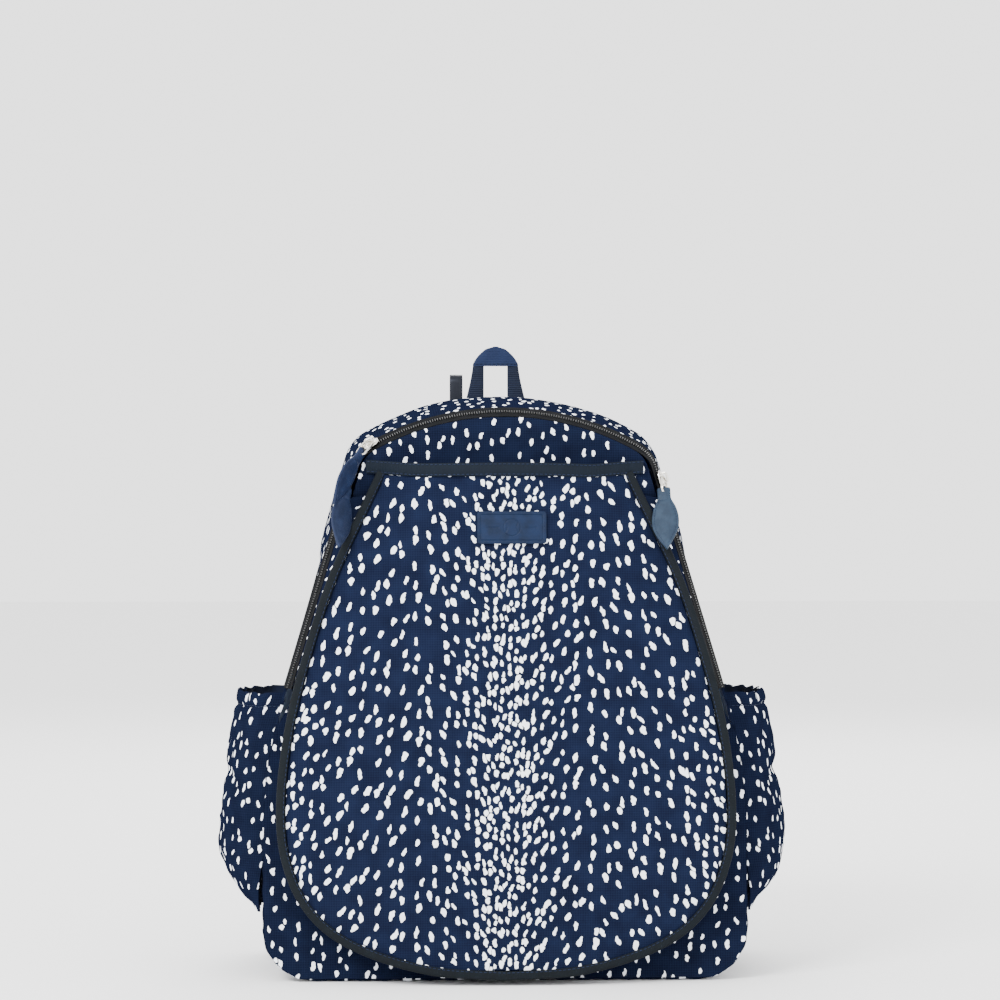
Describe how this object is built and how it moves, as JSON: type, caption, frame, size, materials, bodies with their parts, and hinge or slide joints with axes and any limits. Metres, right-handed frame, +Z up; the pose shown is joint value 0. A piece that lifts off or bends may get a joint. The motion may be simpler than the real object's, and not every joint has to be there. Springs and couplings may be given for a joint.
{
  "type": "racket backpack",
  "caption": "Padded backpack with a bulging racket pocket on a zipped fold-down front, gathered side pockets, hang loop, hidden fence hook and shoulder straps.",
  "frame": {"origin": "on the floor under the middle of the bag", "axes": "+X to the right of someone facing the front, +Y to the back where the straps are, +Z up"},
  "size_m": [0.4382, 0.2472, 0.476],
  "materials": {
    "spotted_canvas": "woven canvas printed with small white spots",
    "lining": "plain woven lining",
    "padding_foam": "closed-cell foam",
    "air_mesh": "spacer mesh",
    "stiffener": "flat board",
    "binding_tape": "ribbed grosgrain",
    "zip_tape": "woven tape",
    "zip_coil": "moulded coil",
    "nickel": "polished nickel",
    "leather": "pebbled, soft sheen",
    "webbing": "ribbed webbing",
    "moulded_plastic": "fine satin grain"
  },
  "bodies": {
    "bag": {"top_gusset": "spotted_canvas", "side_panel_left": "spotted_canvas", "side_panel_right": "spotted_canvas", "base_panel": "spotted_canvas", "base_board": "stiffener", "back_lining": "lining", "back_foam": "padding_foam", "back_panel": "air_mesh", "back_seam_binding": "binding_tape", "inner_slip_pocket": "lining", "inner_front_lower": "spotted_canvas", "top_zip_outer_tape": "zip_tape", "top_zip_outer_coil": "zip_coil", "left_zip_outer_tape": "zip_tape", "left_zip_outer_coil": "zip_coil", "right_zip_outer_tape": "zip_tape", "right_zip_outer_coil": "zip_coil", "racket_face_lower": "spotted_canvas", "racket_face_fold": "spotted_canvas", "racket_skirt_lower": "spotted_canvas", "edge_binding_lower": "binding_tape", "side_pocket_left": "spotted_canvas", "side_pocket_right": "spotted_canvas", "pocket_elastic_left": "spotted_canvas", "pocket_elastic_right": "spotted_canvas", "strap_webbing_left": "webbing", "strap_webbing_right": "webbing", "loop_foot": "webbing", "hook_sleeve": "webbing"},
    "front_flap": {"inner_front_upper": "spotted_canvas", "top_zip_inner_tape": "zip_tape", "top_zip_inner_coil": "zip_coil", "left_zip_inner_tape": "zip_tape", "left_zip_inner_coil": "zip_coil", "right_zip_inner_tape": "zip_tape", "right_zip_inner_coil": "zip_coil", "racket_face_upper": "spotted_canvas", "racket_skirt_left": "spotted_canvas", "racket_skirt_right": "spotted_canvas", "edge_binding_left": "binding_tape", "edge_binding_right": "binding_tape", "mouth_binding": "binding_tape", "label": "leather"},
    "main_slider_body": {"main_slider": "nickel"},
    "main_pull_body": {"main_pull_ring": "nickel", "main_pull": "leather"},
    "left_slider_body": {"left_slider": "nickel"},
    "left_pull_body": {"left_pull_ring": "nickel", "left_pull": "leather"},
    "right_slider_body": {"right_slider": "nickel"},
    "right_pull_body": {"right_pull_ring": "nickel", "right_pull": "leather"},
    "hang_loop_body": {"hang_loop": "webbing"},
    "fence_hook_body": {"fence_hook": "nickel"},
    "shoulder_strap_left": {"strap_pad_left": "spotted_canvas", "buckle_left": "moulded_plastic", "strap_tail_left": "webbing"},
    "shoulder_strap_right": {"strap_pad_right": "spotted_canvas", "buckle_right": "moulded_plastic", "strap_tail_right": "webbing"}
  },
  "joints": [
    {"name": "flap_fold", "type": "hinge", "parent": "bag", "child": "front_flap", "pos_m": [0, -0.07269, 0.21316], "axis": [1, 0, 0], "range_deg": [0, 50], "deforming": ["racket_face_fold"]},
    {"name": "main_slider_run", "type": "hinge", "parent": "front_flap", "child": "main_slider_body", "pos_m": [0, -0.07082, 0.217], "axis": [0, 0.9954, -0.0958], "range_deg": [0, 54], "deforming": ["main_pull"]},
    {"name": "left_slider_run", "type": "slide", "parent": "front_flap", "child": "left_slider_body", "axis": [-0.2823, -0.0919, -0.9549], "range_m": [0, 0.135], "deforming": ["left_pull"]},
    {"name": "right_slider_run", "type": "slide", "parent": "front_flap", "child": "right_slider_body", "axis": [0.2823, -0.0919, -0.9549], "range_m": [0, 0.135], "deforming": ["right_pull"]},
    {"name": "main_pull_swing", "type": "hinge", "parent": "main_slider_body", "child": "main_pull_body", "pos_m": [-0.1006, -0.06176, 0.39846], "axis": [-0.7814, 0.6236, 0.0236], "range_deg": [0, 60]},
    {"name": "left_pull_swing", "type": "hinge", "parent": "left_slider_body", "child": "left_pull_body", "pos_m": [-0.1189, -0.0642, 0.37241], "axis": [-0.4906, 0.6645, -0.5637], "range_deg": [0, 60]},
    {"name": "right_pull_swing", "type": "hinge", "parent": "right_slider_body", "child": "right_pull_body", "pos_m": [0.11919, -0.06429, 0.37141], "axis": [-0.4906, -0.6645, 0.5637], "range_deg": [0, 60]},
    {"name": "hang_loop_fold", "type": "hinge", "parent": "bag", "child": "hang_loop_body", "pos_m": [-0.002, 0.07999, 0.438], "axis": [1, 0, 0], "range_deg": [-72, 12], "stiffness_Nm_per_rad": 0.01},
    {"name": "fence_hook_slide", "type": "slide", "parent": "bag", "child": "fence_hook_body", "axis": [0, 0, 1], "range_m": [0, 0.018]},
    {"name": "strap_left_swing", "type": "hinge", "parent": "bag", "child": "shoulder_strap_left", "pos_m": [-0.062, 0.08159, 0.384], "axis": [1, 0, 0], "range_deg": [0, 40], "deforming": ["strap_webbing_left"]},
    {"name": "strap_right_swing", "type": "hinge", "parent": "bag", "child": "shoulder_strap_right", "pos_m": [0.062, 0.08159, 0.384], "axis": [1, 0, 0], "range_deg": [0, 40], "deforming": ["strap_webbing_right"]}
  ]
}
